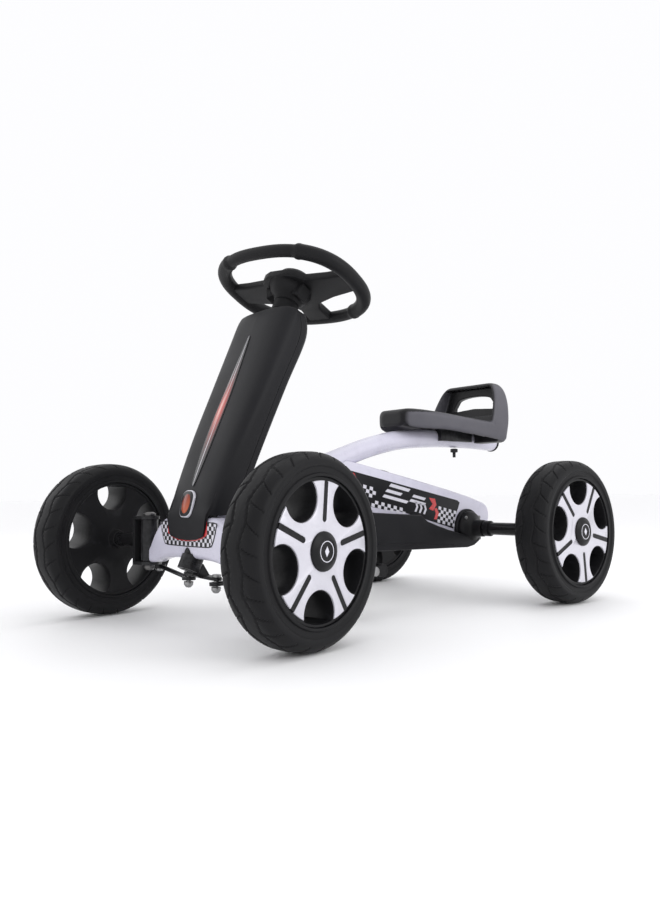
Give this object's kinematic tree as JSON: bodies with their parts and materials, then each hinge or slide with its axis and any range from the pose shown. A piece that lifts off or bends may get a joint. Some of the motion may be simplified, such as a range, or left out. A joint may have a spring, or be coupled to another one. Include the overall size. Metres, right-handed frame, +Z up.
{
  "type": "pedal go kart",
  "caption": "Child's pedal go kart with a chain drive, linked steering, sliding saddle seat and spoked wheels.",
  "frame": {"origin": "centre of the kart's footprint on the ground", "axes": "+Z up; the kart faces -Y, its left side is +X, and its length runs along Y"},
  "size_m": [0.5686, 0.8916, 0.5922],
  "materials": {
    "white_paint": "satin lavender-white paint",
    "black_plastic": "matte moulded plastic",
    "black_metal": "satin black paint",
    "tyre": "matte moulded tread",
    "silver": "silver painted plastic",
    "steel": "plated steel",
    "nylon": "natural nylon"
  },
  "bodies": {
    "frame": {"spine_tube": "white_paint", "spine_end_cap": "black_plastic", "main_beam": "white_paint", "front_crossbeam": "white_paint", "kingpin_housing_left": "black_metal", "kingpin_housing_right": "black_metal", "head_tube": "black_metal", "column_bush_upper": "nylon", "column_bush_lower": "nylon", "fairing_front": "black_plastic", "fairing_rear": "black_plastic", "badge": "silver", "chain_cover": "black_plastic", "rear_bearing_left": "black_plastic", "rear_bearing_right": "black_plastic", "crank_bush_left": "nylon", "crank_bush_right": "nylon", "drive_chain": "steel"},
    "steering": {"steering_column": "black_metal", "pitman_arm": "black_metal", "pitman_bolt_left": "steel", "pitman_bolt_right": "steel", "steering_wheel": "black_plastic", "horn_pad": "black_plastic"},
    "rear_axle": {"rear_axle": "black_metal", "rear_sprocket": "steel", "tyre_rear_left": "tyre", "wheel_rim_rear_left": "black_plastic", "hubcap_rear_left": "silver", "centre_cap_rear_left": "black_plastic", "tyre_rear_right": "tyre", "wheel_rim_rear_right": "black_plastic", "hubcap_rear_right": "silver", "centre_cap_rear_right": "black_plastic"},
    "crank": {"crankshaft": "steel", "chain_ring": "steel"},
    "seat": {"seat_shell": "black_plastic", "seat_saddle": "black_metal", "seat_clamp_bolt": "steel"},
    "knuckle_left": {"knuckle_left": "black_metal", "kingpin_bolt_left": "steel", "tie_rod_bolt_left": "steel"},
    "tie_rod_left": {"tie_rod_left": "black_metal"},
    "front_wheel_left": {"tyre_front_left": "tyre", "wheel_rim_front_left": "black_plastic", "hubcap_front_left": "silver", "centre_cap_front_left": "black_plastic"},
    "pedal_left": {"pedal_left": "black_plastic"},
    "knuckle_right": {"knuckle_right": "black_metal", "kingpin_bolt_right": "steel", "tie_rod_bolt_right": "steel"},
    "tie_rod_right": {"tie_rod_right": "black_metal"},
    "front_wheel_right": {"tyre_front_right": "tyre", "wheel_rim_front_right": "black_plastic", "hubcap_front_right": "silver", "centre_cap_front_right": "black_plastic"},
    "pedal_right": {"pedal_right": "black_plastic"}
  },
  "joints": [
    {"name": "steering_turn", "type": "hinge", "parent": "frame", "child": "steering", "pos_m": [0, -0.1058, 0.542], "axis": [0, 0.4067, 0.9135], "range_deg": [-40.8, 19.2]},
    {"name": "knuckle_left_turn", "type": "hinge", "parent": "frame", "child": "knuckle_left", "pos_m": [0.125, -0.3028, 0.125], "axis": [0, 0, 1], "range_deg": [-34.3, 16.3]},
    {"name": "tie_rod_left_swing", "type": "hinge", "parent": "knuckle_left", "child": "tie_rod_left", "pos_m": [0.14462, -0.25745, 0.08], "axis": [-0.1794, 0.0601, 0.9819], "range_deg": [-17, 35.9]},
    {"name": "front_wheel_left_spin", "type": "hinge", "parent": "knuckle_left", "child": "front_wheel_left", "pos_m": [0.2363, -0.28509, 0.125], "axis": [0.9876, 0.1571, 0], "continuous": true},
    {"name": "knuckle_right_turn", "type": "hinge", "parent": "frame", "child": "knuckle_right", "pos_m": [-0.125, -0.3028, 0.125], "axis": [0, 0, 1], "range_deg": [-34.3, 16.3]},
    {"name": "tie_rod_right_swing", "type": "hinge", "parent": "knuckle_right", "child": "tie_rod_right", "pos_m": [-0.15772, -0.26578, 0.08], "axis": [0.1519, 0.1128, 0.9819], "range_deg": [-17, 35.9]},
    {"name": "front_wheel_right_spin", "type": "hinge", "parent": "knuckle_right", "child": "front_wheel_right", "pos_m": [-0.2363, -0.32051, 0.125], "axis": [0.9876, 0.1571, 0], "continuous": true},
    {"name": "rear_axle_spin", "type": "hinge", "parent": "frame", "child": "rear_axle", "pos_m": [0, 0.3208, 0.125], "axis": [1, 0, 0], "continuous": true},
    {"name": "crank_spin", "type": "hinge", "parent": "frame", "child": "crank", "pos_m": [0, -0.0878, 0.145], "axis": [1, 0, 0], "continuous": true},
    {"name": "pedal_left_spin", "type": "hinge", "parent": "crank", "child": "pedal_left", "pos_m": [0.102, -0.05484, 0.07431], "axis": [1, 0, 0], "continuous": true},
    {"name": "pedal_right_spin", "type": "hinge", "parent": "crank", "child": "pedal_right", "pos_m": [-0.102, -0.12076, 0.21569], "axis": [1, 0, 0], "continuous": true},
    {"name": "seat_slide", "type": "slide", "parent": "frame", "child": "seat", "axis": [0, 1, 0], "range_m": [-0.04, 0]}
  ],
  "couplings": [
    {"joint": "knuckle_left_turn", "follows": "steering_turn", "ratio": 0.837},
    {"joint": "tie_rod_left_swing", "follows": "steering_turn", "ratio": -0.8755},
    {"joint": "knuckle_right_turn", "follows": "steering_turn", "ratio": 0.837},
    {"joint": "tie_rod_right_swing", "follows": "steering_turn", "ratio": -0.8755},
    {"joint": "crank_spin", "follows": "rear_axle_spin", "ratio": 0.77778}
  ]
}
